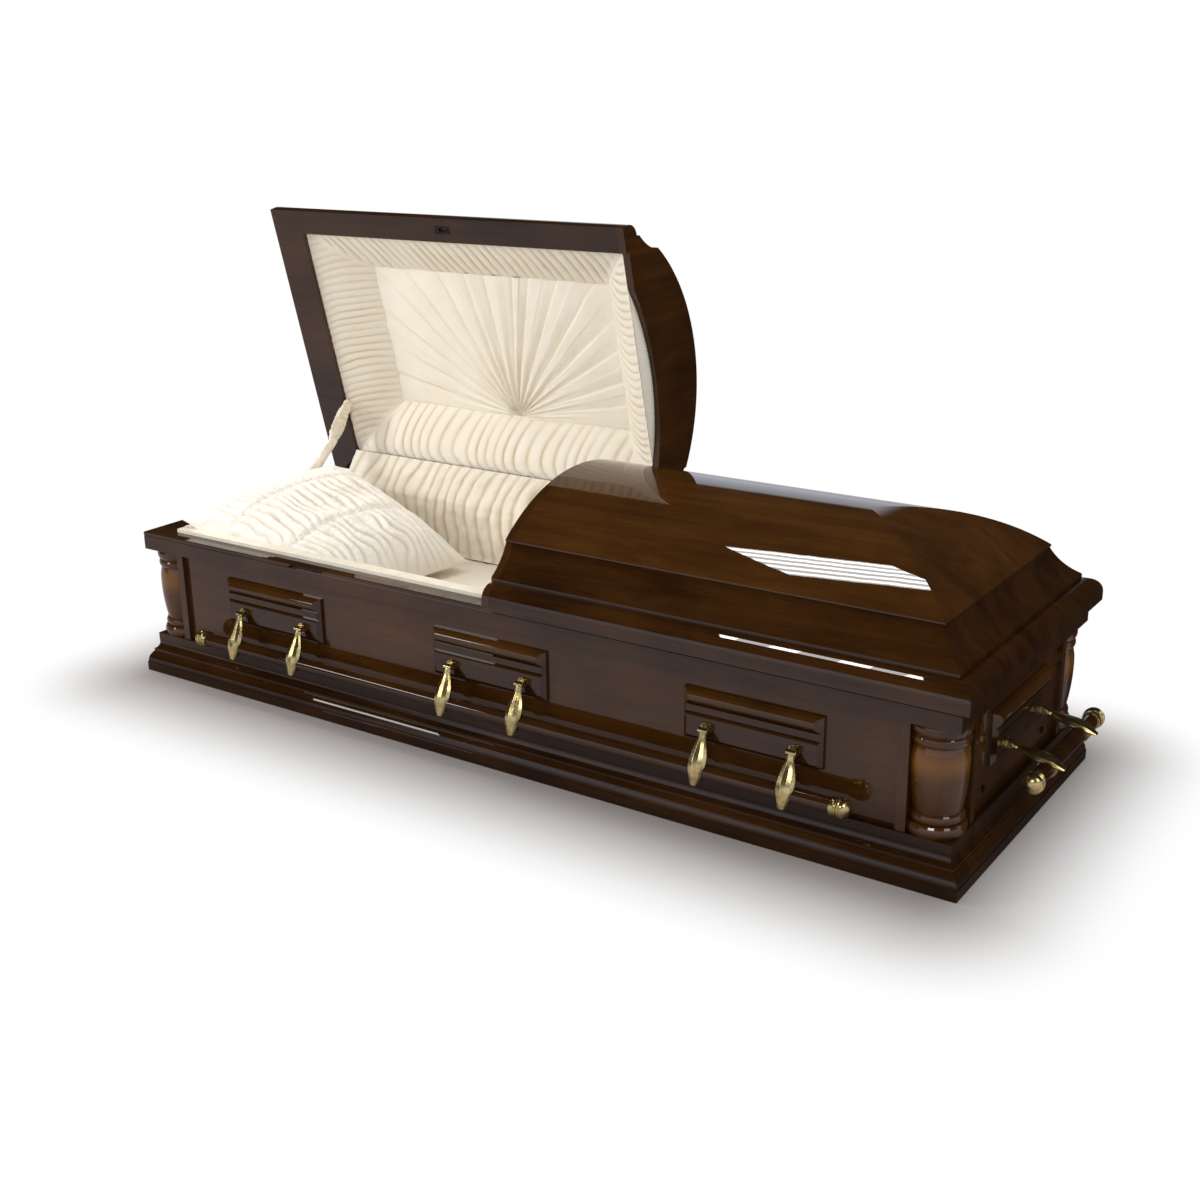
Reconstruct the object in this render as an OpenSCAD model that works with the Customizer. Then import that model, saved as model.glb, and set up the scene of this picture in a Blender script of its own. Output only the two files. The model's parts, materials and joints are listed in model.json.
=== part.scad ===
// Half-couch wooden casket: panelled body on a moulded base, four turned corner
// columns, two hipped lids, four swing-bar handles, bed, pillow and lid lining.
// Millimetres, +Z up, +X towards the foot, -Y the front. The origin is on the
// underside, at the middle of the plan. The head lid is drawn open, the foot lid shut.

/* [Body] */
// Length over the top rail
body_len = 2099; // [1750:1:2520]
// Width over the top rail
body_wid = 692; // [570:1:840]
// Height of the top of the rail
rail_top = 359; // [340:1:430]
// Height of the rail boards
rail_h = 43; // [30:1:55]
// Width of the rail boards, measured inwards
rail_w = 56; // [48:1:64]
// Distance of the wall boards inside the rail's face
wall_in = 20; // [16:1:24]
// Thickness of the wall boards
wall_t = 20; // [14:1:24]
// Thickness of the bottom board
bottom_t = 18; // [12:1:24]

/* [Base moulding] */
// Height of the base moulding
base_h = 96; // [84:1:110]
// Overhang of the base beyond the rail's face
base_out = 17.5; // [12:0.5:24]
// Height of the upright foot of the moulding
base_fascia = 22; // [14:1:26]
// Height of the ridge between its two slopes
base_ridge = 50; // [42:1:58]

/* [Corner columns] */
// Distance of a column's axis inside the rail's two faces
col_in = 60; // [58:1:66]
// Radius of the end beads
col_r = 57; // [48:0.5:58]
// Largest radius of the barrel
barrel_r = 55; // [44:0.5:56]
// Radius of the barrel's foot
barrel_foot_r = 46.5; // [40:0.5:48]
// Distance from a column's axis to its two inner flats
col_flat = 38.5; // [34:0.5:40]
// Thickness of the post behind the flats
post_t = 8; // [6:1:12]
// Width of the upright strip beside a column
strip_w = 20; // [14:1:24]
// How far the strip stands off the wall
strip_out = 10; // [6:1:12]

/* [Handles] */
// Length of a handle plate
plate_len = 300; // [250:1:320]
// Height of a handle plate
plate_h = 107; // [96:1:120]
// Height of a plate's lower edge
plate_z = 175; // [168:1:185]
// Spacing of the plates along the sides
plate_pitch = 632; // [600:1:640]
// Half the spacing of the two arms on a plate
arm_half = 95; // [80:1:110]
// Height of the handle pivots
pivot_z = 206; // [200:1:214]
// Distance of the pivots from the wall face
pivot_out = 26; // [24:0.5:30]
// Radius of the pivot pins
pin_r = 3; // [2.5:0.1:3.5]
// Length of an arm below its pivot
arm_len = 105; // [98:1:112]
// Largest width of an arm
arm_w = 31; // [26:1:34]
// Radius of the wooden bars
bar_r = 15.5; // [12:0.5:16.5]
// Distance of the bar's axis down the arm
bar_down = 77; // [72:1:80]
// Distance of the bar's axis behind the arm's middle plane
bar_back = 10; // [9:0.5:12]
// Half length of a side handle over its caps
side_bar_half = 855; // [820:1:870]
// Half length of an end handle over its caps
end_bar_half = 190; // [170:1:200]
// Slant of a hanging handle
hang_tilt = 21; // [18:1:30]
// Slant of a handle that is swung out
out_tilt = 75; // [60:1:80]

/* [Lids] */
// Gap between the rail and the closed lids
lid_gap = 1; // [0.8:0.1:1.5]
// Overhang of the lids beyond the rail's face
lid_out = 20; // [16:0.5:24]
// Thickness of the flat boards round a lid's opening
rim_h = 18; // [14:1:20]
// Width of the rim boards along the sides
rim_w = 59; // [54:1:64]
// Width of the rim board at a lid's outer end
rim_end_w = 94.5; // [80:0.5:96]
// Radius of the quarter round above the rim
thumb_r = 32; // [26:1:34]
// Height of the side mouldings from the rim's top to the crown
mould_h = 106.5; // [98:0.5:116]
// Distance of the crown's edge inside the rail's face
crown_in = 68; // [62:1:74]
// Rise of the crown's arc
crown_rise = 104; // [80:1:125]
// Thickness of the crown
crown_t = 16; // [12:1:18]
// Thickness of the boards that close the cut ends
header_t = 18; // [14:1:22]
// Place of the cut between the lids, from the middle towards the foot
cut_x = 12.5; // [-60:0.5:60]
// Gap between the two lids
cut_gap = 3; // [2:0.5:5]
// Opening angle of the lids
open_deg = 76.6; // [60:0.1:85]
// Height of the hinge pins above the rail's top
hinge_up = 15.2; // [14.8:0.1:15.6]
// Distance of the hinge pins beyond the rail's rear face
hinge_out = 18.6; // [18.2:0.1:19]
// Radius of a hinge barrel
hinge_r = 5; // [4.5:0.1:5.2]
// Length of a hinge
hinge_len = 70; // [60:1:90]

/* [Lid stay] */
// Width of the two links
link_w = 16; // [12:1:18]
// Thickness of the two links
link_t = 6; // [4:0.5:6.5]
// Length of the upper link, from pin to pin
link_len = 116; // [115:0.5:117]

/* [Soft furnishing] */
// Height of the top of the bed
bed_top = 212; // [195:1:230]
// Thickness of the mattress
mattress_t = 75; // [50:1:110]
// Length of the pillow, from the head end to its foot edge
pillow_len = 470; // [400:1:490]
// Width of the pillow across the body
pillow_wid = 466; // [420:1:470]
// Thickness of the pillow
pillow_t = 116; // [90:1:120]
// Slope of the pillow
pillow_tilt = 20.4; // [16:0.1:22]
// Thickness of the wall linings
lining_t = 8; // [5:1:10]
// Width of the pleated border inside the lid
border_w = 120; // [100:1:130]
// Depth of the fan panel above the lid's rim plane
panel_up = 106; // [90:1:112]

/* [Hidden] */
$fn = 64;
hx = body_len / 2;
hy = body_wid / 2;
wall_x = hx - wall_in;
wall_y = hy - wall_in;
rail_bottom = rail_top - rail_h;
rail_groove_z = rail_top - 9;
mitre_gap = 0.1;
fit_gap = 0.1;
soft_gap = 0.3;
run_gap = 0.08;
col_in_flat = col_in + col_flat;
post_in = col_in_flat + post_t;
bead_lower_h = 24;
bead_upper_h = 20.5;
lid_z = rail_top + lid_gap;
rim_top = lid_z + rim_h;
crown_z = rim_top + mould_h;
crown_lip = 3.5;
crown_half = hy - crown_in;
crown_radius = (crown_half * crown_half + crown_rise * crown_rise) / (2 * crown_rise);
crown_crest = crown_z + crown_lip + crown_rise;
crown_centre_z = crown_crest - crown_radius;
crown_turn_x = hx - crown_in - crown_half;
neck_out = lid_out - thumb_r - 4;
mould_in = rim_w - lid_out;
hinge_y = hy + hinge_out;
hinge_z = rail_top + hinge_up;
hinge_pin_r = 2.5;
hinge_leaf_t = 2.5;
hinge_mid = hinge_len / 3;
lid_outer_x = hx + lid_out;
head_cut = cut_x - cut_gap / 2;
foot_cut = cut_x + cut_gap / 2;
opening_x = lid_outer_x - rim_end_w;
opening_y = hy + lid_out - rim_w;
plate_slab = 14;
neck_w = 9;
ear_r = 12;
cap_len = 36;
cap_r = 18;
front_strip_w = 32;
front_strip_h = 8;
lock_x = 507;
stay_x = -opening_x + 13;
stay_lid_y = opening_y - 142;
stay_lid_z = lid_z + 8;
stay_open = lid_turned([stay_lid_y, stay_lid_z], open_deg);
stay_base = [stay_lid_y - 105, rail_top - 4];
stay_elbow = stay_open + link_len * unit([-62.5, -76.7]);
stay_low_len = norm(stay_elbow - stay_base);

// ---- shared helpers ----

function unit(v) = v / norm(v);

// A point of the closed lid, as [y, z], with the lid opened by a degrees
function lid_turned(p, a) = [
    hinge_y + (p[0] - hinge_y) * cos(a) + (p[1] - hinge_z) * sin(a),
    hinge_z - (p[0] - hinge_y) * sin(a) + (p[1] - hinge_z) * cos(a)];

// Points along a shallow arc from p to q that bows to its left by sag
function bow(p, q, sag, n = 8) = let (
    c = norm(q - p), r = (c * c / 4 + sag * sag) / (2 * abs(sag)),
    half = asin(c / 2 / r), along = (q - p) / c, left = [-along[1], along[0]] * sign(sag))
    [for (i = [0 : n]) let (t = -half + 2 * half * i / n)
        (p + q) / 2 + along * r * sin(t) + left * r * (cos(t) - cos(half))];

// Runs a profile, drawn as [outwards, up], along side i of a mitred frame
module frame_side(i, length, width, out, depth, low, high) {
    own = i % 2 == 0 ? length : width;
    across = i % 2 == 0 ? width : length;
    rotate(90 * i) intersection() {
        translate([0, -across / 2, 0]) rotate([90, 0, -90])
            linear_extrude(height = own + 2 * out + 2, center = true) children();
        translate([0, 0, low - 1]) linear_extrude(height = high - low + 2) polygon([
            [-own / 2 - out + mitre_gap, -across / 2 - out],
            [own / 2 + out - mitre_gap, -across / 2 - out],
            [own / 2 - depth - mitre_gap, -across / 2 + depth],
            [-own / 2 + depth + mitre_gap, -across / 2 + depth]]);
    }
}

// A board from corner a to corner b
module board(a, b) translate(a) cube(b - a);

// Puts a shape on side i, with -Y as the way out and y = 0 on the wall's face
module on_side(i) rotate(90 * i) translate([0, -(i % 2 == 0 ? wall_y : wall_x), 0]) children();

// Opens a lid about the hinge line
module opened(a) translate([0, hinge_y, hinge_z]) rotate([-a, 0, 0])
    translate([0, -hinge_y, -hinge_z]) children();

// ---- body ----

// A plan rectangle with its corners cut back to clear the corner posts
module post_cleared(half_x, half_y, gap) difference() {
    square([2 * half_x, 2 * half_y], center = true);
    for (sx = [-1, 1], sy = [-1, 1]) translate([sx * hx, sy * hy])
        square(2 * (post_in + gap), center = true);
}

module bottom_board() color("sienna") linear_extrude(height = bottom_t)
    post_cleared(wall_x - wall_t, wall_y - wall_t, 0);

module base_profile() {
    block = -7;
    polygon(concat([[-wall_in, base_h], [-wall_in, 0], [base_out, 0], [base_out, base_fascia]],
        bow([base_out - 1.5, base_fascia], [4.5, base_ridge - 1], -3),
        [[3.5, base_ridge - 1], [3.5, base_ridge + 6]],
        bow([1.5, base_ridge + 6], [block, base_ridge + 28], 3.5),
        [[block, base_h]]));
}

module base_moldings() color("saddlebrown") for (i = [0 : 3])
    frame_side(i, body_len, body_wid, base_out, wall_in, 0, base_h) base_profile();

module walls(sides) color("sienna") for (i = sides) {
    reach = (i % 2 == 0 ? hx : hy) - post_in;
    on_side(i) board([-reach, 0, 0], [reach, wall_t, rail_bottom]);
}

// One corner post, in the corner where +X meets -Y
module corner_post() {
    difference() {
        union() {
            board([hx - post_in, -wall_y, 0], [wall_x, -hy + post_in, rail_bottom]);
            board([hx - col_in_flat - strip_w, -wall_y - strip_out, base_h],
                [hx - col_in_flat, -wall_y, rail_bottom]);
            board([wall_x, -hy + col_in_flat, base_h],
                [wall_x + strip_out, -hy + col_in_flat + strip_w, rail_bottom]);
        }
        board([hx - col_in_flat, -hy - 1, base_h], [hx + 1, -hy + col_in_flat, rail_bottom + 1]);
    }
}

module corner_posts() color("sienna")
    for (sx = [0, 1], sy = [0, 1]) mirror([sx, 0, 0]) mirror([0, sy, 0]) corner_post();

module column_profile() {
    low_top = base_h + bead_lower_h;
    foot = low_top + bead_upper_h;
    high_low = rail_bottom - bead_lower_h;
    neck = high_low - bead_upper_h;
    belly = neck - 28;
    polygon(concat([[0, base_h]],
        bow([col_r - 4, base_h], [col_r - 4, low_top], -4, 6),
        bow([col_r - 9, low_top], [col_r - 9, foot], -4, 6),
        bow([barrel_foot_r, foot], [barrel_r, belly], -3, 10),
        bow([barrel_r, belly], [barrel_r - 5, neck], -1, 5),
        bow([col_r - 6, neck], [col_r - 6, high_low], -4, 6),
        bow([col_r - 4, high_low], [col_r - 4, rail_bottom], -4, 6),
        [[0, rail_bottom]]));
}

module column(sx, sy) color("peru") mirror([sx, 0, 0]) mirror([0, sy, 0])
    translate([hx - col_in, -hy + col_in, 0]) intersection() {
        rotate_extrude($fn = 96) column_profile();
        board([-col_flat, -col_r - 1, base_h - 1], [col_r + 1, col_flat, rail_bottom + 1]);
    }

module rail_profile() difference() {
    polygon([[-rail_w, rail_bottom], [0, rail_bottom], [0, rail_top - 1.5], [-1.5, rail_top],
        [-rail_w, rail_top]]);
    translate([-1.5, rail_groove_z - 1]) square([3, 2]);
}

module top_rails() color("saddlebrown") for (i = [0 : 3])
    frame_side(i, body_len, body_wid, 0, rail_w, rail_bottom, rail_top) rail_profile();

module end_plugs() color("black") for (i = [1, 3], y = [-161, 161])
    on_side(i) translate([y, 0, base_h + 37]) rotate([90, 0, 0]) cylinder(h = 3, r = 7);

// ---- handles ----

function side_centres(i) = i % 2 == 0 ? [-plate_pitch, 0, plate_pitch] : [0];

module plate_profile() {
    band_z = plate_h - 17;
    difference() {
        union() {
            polygon([[0, 0], [6, 0], [plate_slab, 10], [plate_slab, band_z - 16], [10, band_z - 16],
                [10, plate_h - 4], [6, plate_h], [0, plate_h]]);
            intersection() {
                translate([3.5, band_z]) circle(r = 16);
                translate([0, band_z - 16]) square([24, 32]);
            }
        }
        translate([plate_slab, band_z - 34]) rotate(45) square(6, center = true);
    }
}

module handle_plate(i, x) color("sienna") on_side(i) translate([x, 0, plate_z]) intersection() {
    rotate([90, 0, -90]) linear_extrude(height = plate_len, center = true) plate_profile();
    linear_extrude(height = plate_h) polygon([
        [-plate_len / 2, 0], [plate_len / 2, 0], [plate_len / 2, -6],
        [plate_len / 2 - 18, -21], [-plate_len / 2 + 18, -21], [-plate_len / 2, -6]]);
}

// An ear stands on a plate and carries a cross pin
module ear() {
    translate([0, -plate_slab, 0]) rotate([90, 0, 0]) cylinder(h = 3, r = ear_r);
    translate([-neck_w / 2, -pivot_out, -6]) cube([neck_w, pivot_out - plate_slab, 12]);
    translate([0, -pivot_out, 0]) rotate([0, 90, 0]) cylinder(h = neck_w, r = 6, center = true);
    translate([0, -pivot_out, 0]) rotate([0, 90, 0]) cylinder(h = 20, r = pin_r, center = true);
}

module ears(i) color("darkgoldenrod") on_side(i)
    for (c = side_centres(i), s = [-1, 1]) translate([c + s * arm_half, 0, pivot_z]) ear();

// Turns a handle, drawn hanging straight down from the origin, to its resting slant
module hung(i, tilt) on_side(i) translate([0, -pivot_out, pivot_z]) rotate([-tilt, 0, 0]) children();

module arm() {
    grip = -bar_down;
    top_w = 19;
    difference() {
        union() {
            intersection() {
                rotate([90, 0, 0]) linear_extrude(height = 30, center = true) polygon([
                    [-6, 7], [6, 7], [top_w / 2, 0], [top_w / 2, -16], [arm_w / 2, grip + 12],
                    [arm_w / 2 - 1.5, grip], [8, -arm_len], [-8, -arm_len], [-arm_w / 2 + 1.5, grip],
                    [-arm_w / 2, grip + 12], [-top_w / 2, -16], [-top_w / 2, 0]]);
                rotate([90, 0, 90]) linear_extrude(height = arm_w + 2, center = true) polygon([
                    [-4, 7], [4, 7], [6, 2], [6, -12], [5, -30], [8, grip + 16], [8, grip - 16],
                    [3, -arm_len], [-4, -arm_len], [-8, grip - 10], [-8, grip + 14], [-5, -24],
                    [-7, -8], [-6, 2]]);
            }
            translate([0, bar_back, grip]) rotate([0, 90, 0])
                cylinder(h = 15, r = bar_r + 4, center = true);
        }
        translate([0, bar_back, grip]) rotate([0, 90, 0])
            cylinder(h = arm_w + 4, r = bar_r + fit_gap, center = true);
        translate([-neck_w / 2 - soft_gap, -15, -10]) cube([neck_w + 2 * soft_gap, 30, 20]);
        rotate([0, 90, 0]) cylinder(h = arm_w, r = pin_r + run_gap, center = true);
    }
}

module arms(i, tilt) color("goldenrod") hung(i, tilt)
    for (c = side_centres(i), s = [-1, 1]) translate([c + s * arm_half, 0, 0]) arm();

module bar(i, tilt, half) color("sienna") hung(i, tilt) translate([0, bar_back, -bar_down])
    rotate([0, 90, 0]) cylinder(h = 2 * (half - 15), r = bar_r, center = true);

// A cap, as a cup on the end of a bar, with a band, two ridges and a domed tip
module cap() rotate_extrude($fn = 48) polygon(concat(
    [[bar_r + fit_gap, 0], [cap_r, 0], [cap_r, 9], [cap_r - 1.5, 10]],
    [[cap_r, 12], [cap_r - 1.5, 14], [cap_r, 16], [cap_r - 1.5, 18]],
    bow([cap_r, 20], [0, cap_len], -8, 10),
    [[0, cap_len - 14.9], [bar_r + fit_gap, cap_len - 14.9]]));

module caps(i, tilt, half) color("goldenrod") hung(i, tilt) translate([0, bar_back, -bar_down])
    for (s = [0, 1]) mirror([s, 0, 0]) translate([half - cap_len, 0, 0]) rotate([0, 90, 0]) cap();

// ---- fittings and soft goods of the body ----

module rail_locks() color("dimgray") for (x = [-lock_x, lock_x]) {
    board([x - 50, -hy - 1.2, rail_groove_z + 1], [x + 50, -hy, rail_top - 2]);
    translate([x - 45, -hy, rail_groove_z + 4]) rotate([90, 0, 0]) cylinder(h = 9, r = 2.8);
}

module rail_strip() color("linen") board([-opening_x + 2, -opening_y + 1, rail_top],
    [opening_x - 2, -opening_y + 1 + front_strip_w, rail_top + front_strip_h]);

module wall_lining() color("linen") {
    long = hx - post_in - 2;
    short = hy - post_in - 2;
    low = bed_top + soft_gap;
    high = rail_top - 4;
    for (s = [0, 1]) mirror([0, s, 0])
        board([-long, -hy + rail_w, low], [long, -hy + rail_w + lining_t, high]);
    board([hx - rail_w - lining_t, -short, low], [hx - rail_w, short, high]);
    board([-hx + rail_w, -short, low], [-hx + rail_w + lining_t, stay_base[0] - 14, high]);
}

module bed_bearers() color("tan") for (i = [-2 : 2])
    translate([i * (hx - post_in - 60) / 2, 0, 0])
        board([-10, -wall_y + wall_t + 6, bottom_t], [10, wall_y - wall_t - 6, bed_top - mattress_t]);

module mattress() color("linen") translate([0, 0, bed_top - mattress_t])
    linear_extrude(height = mattress_t)
        post_cleared(hx - rail_w - lining_t - 1, hy - rail_w - lining_t - 1, 1);

// A lens of width w and thickness t
module lens(w, t) {
    r = (w * w / 4 + t * t / 4) / t;
    intersection() {
        translate([0, t / 2 - r]) circle(r = r, $fn = 720);
        translate([0, r - t / 2]) circle(r = r, $fn = 720);
    }
}

pillow_seam = 14;
pillow_head = opening_x - 40;
pillow_mid_x = -pillow_head + pillow_len / 2 * cos(pillow_tilt);
pillow_mid_z = bed_top + soft_gap + pillow_dip(pillow_len + pillow_seam, pillow_t, pillow_tilt);

// Depth of a sloping lens below its middle
function pillow_dip(w, t, a) = let (r = (w * w / 4 + t * t / 4) / t) r - (r - t / 2) * cos(a);

module pillow() color("ivory") translate([pillow_mid_x, -38, pillow_mid_z])
    rotate([0, pillow_tilt, 0]) intersection() {
        rotate([90, 0, 0]) linear_extrude(height = pillow_wid, center = true)
            lens(pillow_len + pillow_seam, pillow_t);
        rotate([90, 0, 90]) linear_extrude(height = pillow_len, center = true)
            lens(pillow_wid + pillow_seam, pillow_t);
    }

// ---- hinges ----

head_hinge_x = [-hx * 0.84, -hx * 0.17];
foot_hinge_x = [hx * 0.19, hx * 0.84];

module hinge_leaves() color("silver") for (x = concat(head_hinge_x, foot_hinge_x))
    translate([x, 0, 0]) {
        crank = rail_top - 2.8;
        board([-hinge_len / 2, hy, rail_bottom + 6], [hinge_len / 2, hy + hinge_leaf_t, crank]);
        board([-hinge_len / 2, hy, crank], [hinge_len / 2, hinge_y + 1.5, rail_top - 0.4]);
        for (s = [0, 1]) mirror([s, 0, 0]) {
            board([hinge_mid / 2 + soft_gap, hinge_y - 1.5, crank], [hinge_len / 2, hinge_y + 1.5, hinge_z]);
            translate([hinge_mid / 2 + soft_gap, hinge_y, hinge_z]) rotate([0, 90, 0])
                cylinder(h = hinge_len / 2 - hinge_mid / 2 - soft_gap, r = hinge_r);
        }
        translate([0, hinge_y, hinge_z]) rotate([0, 90, 0])
            cylinder(h = hinge_len - 1, r = hinge_pin_r, center = true);
    }

notch_y = hinge_y - hinge_r - 6;

module lid_hinges(places) color("silver") for (x = places) translate([x, 0, 0]) difference() {
    union() {
        board([-hinge_len / 2 + 2, notch_y, lid_z + 1],
            [hinge_len / 2 - 2, notch_y + hinge_leaf_t, hinge_z + hinge_r]);
        board([-hinge_mid / 2, notch_y, hinge_z - 2], [hinge_mid / 2, hinge_y, hinge_z + 2]);
        translate([0, hinge_y, hinge_z]) rotate([0, 90, 0])
            cylinder(h = hinge_mid, r = hinge_r, center = true);
    }
    translate([0, hinge_y, hinge_z]) rotate([0, 90, 0])
        cylinder(h = hinge_mid + 2, r = hinge_pin_r + run_gap, center = true);
}

module hinge_notches() for (x = concat(head_hinge_x, foot_hinge_x))
    board([x - hinge_len / 2 - 1, notch_y, lid_z - 2],
        [x + hinge_len / 2 + 1, hy + lid_out + 4, hinge_z + hinge_r + 1.3]);

// ---- lids, drawn shut ----

// The x range of one half: s = -1 for the head lid, 1 for the foot lid
function half_from(s) = s < 0 ? -lid_outer_x - 1 : foot_cut + header_t;
function half_to(s) = s < 0 ? head_cut - header_t : lid_outer_x + 1;

module keep_half(s, low, high) intersection() {
    children();
    board([half_from(s), -hy - 60, low], [half_to(s), hy + 60, high]);
}

// One rim board between two plan corners on the outside and two on the opening
module rim_board(a, b, c, d) translate([0, 0, lid_z]) linear_extrude(height = rim_h)
    polygon([a, b, c, d]);

catch_y = -hy + 8;

module lid_rim(s) color("saddlebrown") {
    cut = s < 0 ? half_to(s) : half_from(s);
    oy = hy + lid_out;
    g = mitre_gap;
    difference() {
        union() for (e = [-1, 1]) {
            rim_board([s * lid_outer_x - s * g, e * oy], [cut, e * oy],
                [cut, e * opening_y], [s * opening_x - s * g, e * opening_y]);
            rim_board([s * lid_outer_x, -oy], [s * lid_outer_x, oy],
                [s * opening_x, opening_y], [s * opening_x, -opening_y]);
        }
        hinge_notches();
        catch_pocket(s);
    }
}

module catch_pocket(s) translate([s * lock_x, catch_y, lid_z - 1])
    linear_extrude(height = 7) square([46, 20], center = true);

module lid_catch(s) color("dimgray") translate([s * lock_x, catch_y, lid_z]) difference() {
    linear_extrude(height = 6) square([46, 20], center = true);
    translate([0, 0, -1]) linear_extrude(height = 5) square([22, 8], center = true);
}

// The outer line of a lid's side, as [outwards, up], from the rim to the crown
function side_line() = concat(
    [for (i = [0 : 8]) let (a = i * 90 / 8)
        [lid_out - thumb_r + thumb_r * cos(a), rim_top + thumb_r * sin(a)]],
    [[neck_out, rim_top + thumb_r], [neck_out, rim_top + thumb_r + 9]],
    bow([neck_out - 1, rim_top + thumb_r + 11], [-crown_in - 3, crown_z], 6));

module mould_profile() polygon(concat(side_line(),
    bow([-crown_in - 21, crown_z], [-mould_in, rim_top + thumb_r + 10], -5),
    [[-mould_in, rim_top]]));

module lid_molding(s) color("saddlebrown") keep_half(s, rim_top - 1, crown_z + 1) difference() {
    for (i = s < 0 ? [0, 2, 3] : [0, 1, 2])
        frame_side(i, body_len, body_wid, lid_out, crown_in + 21, rim_top, crown_z) mould_profile();
    hinge_notches();
}

// Section across the crown, and along it, inside the outer face or t below it
module crown_across(t) intersection() {
    translate([0, crown_centre_z]) circle(r = crown_radius - t, $fn = 180);
    translate([-crown_half, crown_z]) square([2 * crown_half, crown_rise + crown_lip + 1]);
}

module crown_along(t) intersection() {
    union() {
        for (s = [-1, 1]) translate([s * crown_turn_x, crown_centre_z])
            circle(r = crown_radius - t, $fn = 180);
        translate([-crown_turn_x, crown_z - 2])
            square([2 * crown_turn_x, crown_crest - crown_z + 2 - t]);
    }
    translate([-hx + crown_in, crown_z - 2]) square([2 * (hx - crown_in), crown_rise + crown_lip + 4]);
}

module crown_solid(t) intersection() {
    rotate([90, 0, 90]) linear_extrude(height = 3 * hx, center = true) crown_across(t);
    rotate([90, 0, 0]) linear_extrude(height = 3 * hy, center = true) crown_along(t);
}

module lid_crown(s) color("sienna") keep_half(s, crown_z, crown_crest + 1) difference() {
    crown_solid(0);
    translate([0, 0, -0.01]) crown_solid(crown_t);
}

// The board that closes a cut end: the lid's outline with a shallow arch below
module header_profile() {
    right = concat([[hy + lid_out, lid_z]], [for (p = side_line()) [hy + p[0], p[1]]],
        [[crown_half - 5, crown_z + 1.5]]);
    left = [for (i = [len(right) - 1 : -1 : 0]) [-right[i][0], right[i][1]]];
    arch_half = 220;
    arch_rise = 39;
    arch_r = (arch_half * arch_half + arch_rise * arch_rise) / (2 * arch_rise);
    spring = lid_z + 11;
    difference() {
        union() {
            polygon(concat(right, left));
            crown_across(0);
        }
        translate([-opening_y, lid_z - 1]) square([2 * opening_y, spring - lid_z + 1]);
        intersection() {
            translate([0, spring + arch_rise - arch_r]) circle(r = arch_r, $fn = 180);
            translate([-arch_half - 10, spring - 1]) square([2 * arch_half + 20, arch_rise + 2]);
        }
    }
}

module lid_header(s) color("saddlebrown")
    translate([s < 0 ? head_cut - header_t : foot_cut, 0, 0])
        rotate([90, 0, 90]) linear_extrude(height = header_t) header_profile();

// ---- lining of the head lid ----

border_low = 25;
border_skin = 12;
inner_y = opening_y - border_w;
lining_mid_x = (head_cut - header_t - opening_x) / 2;
lining_len = head_cut - header_t + opening_x;

module head_border() color("linen") translate([lining_mid_x, 0, 0]) for (i = [0 : 3])
    frame_side(i, lining_len - 1, 2 * opening_y - 1, 0, border_w, lid_z, lid_z + 130)
        polygon([[0, lid_z + border_low], [0, lid_z + border_low + border_skin],
            [-border_w, lid_z + panel_up + border_skin], [-border_w, lid_z + panel_up]]);

module head_panel() color("linen") translate([lining_mid_x, 0, lid_z + panel_up]) translate([0, 0, 4])
    cube([lining_len - 1 - 2 * border_w, 2 * inner_y - 1, 8], center = true);

// ---- lid stay ----

stay_pin_r = 3;

// A link in the plane x = 0, with eyes at points p and q given as [y, z]
module link(p, q) {
    v = q - p;
    translate([0, p[0], p[1]]) rotate([atan2(v[1], v[0]), 0, 0]) {
        translate([0, 0, -link_w / 2]) cube([link_t, norm(v), link_w]);
        for (y = [0, norm(v)]) translate([0, y, 0]) rotate([0, 90, 0]) cylinder(h = link_t, r = link_w / 2);
    }
}

module cross_pin(p, r, from, to) translate([from, p[0], p[1]]) rotate([0, 90, 0])
    cylinder(h = to - from, r = r);

module stay_seat() color("silver")
    board([-hx + rail_w, stay_base[0] - 9, stay_base[1] - 16],
        [stay_x - link_t - 1, stay_base[0] + 9, stay_base[1] - 4]);

module stay_upper() color("linen") difference() {
    translate([stay_x - link_t, 0, 0]) link(stay_open, stay_elbow);
    cross_pin(stay_open, stay_pin_r + run_gap, stay_x - link_t - 1, stay_x + 1);
    cross_pin(stay_elbow, stay_pin_r + run_gap, stay_x - link_t - 1, stay_x + 1);
}

module stay_lower() color("linen") {
    difference() {
        translate([stay_x + 0.5, 0, 0]) link(stay_elbow, stay_base);
        cross_pin(stay_base, stay_pin_r + 1, stay_x - 1, stay_x + link_t + 2);
    }
    cross_pin(stay_elbow, stay_pin_r, stay_x - link_t, stay_x + link_t);
}

// The rim's ear that carries the upper link; it sits on the rim's inner edge
module stay_ear() color("silver") {
    board([-opening_x, stay_lid_y - 9, lid_z + 1],
        [stay_x - link_t - 0.5, stay_lid_y + 9, stay_lid_z + 7]);
    cross_pin([stay_lid_y, stay_lid_z], stay_pin_r, stay_x - link_t - 4, stay_x);
}

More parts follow.
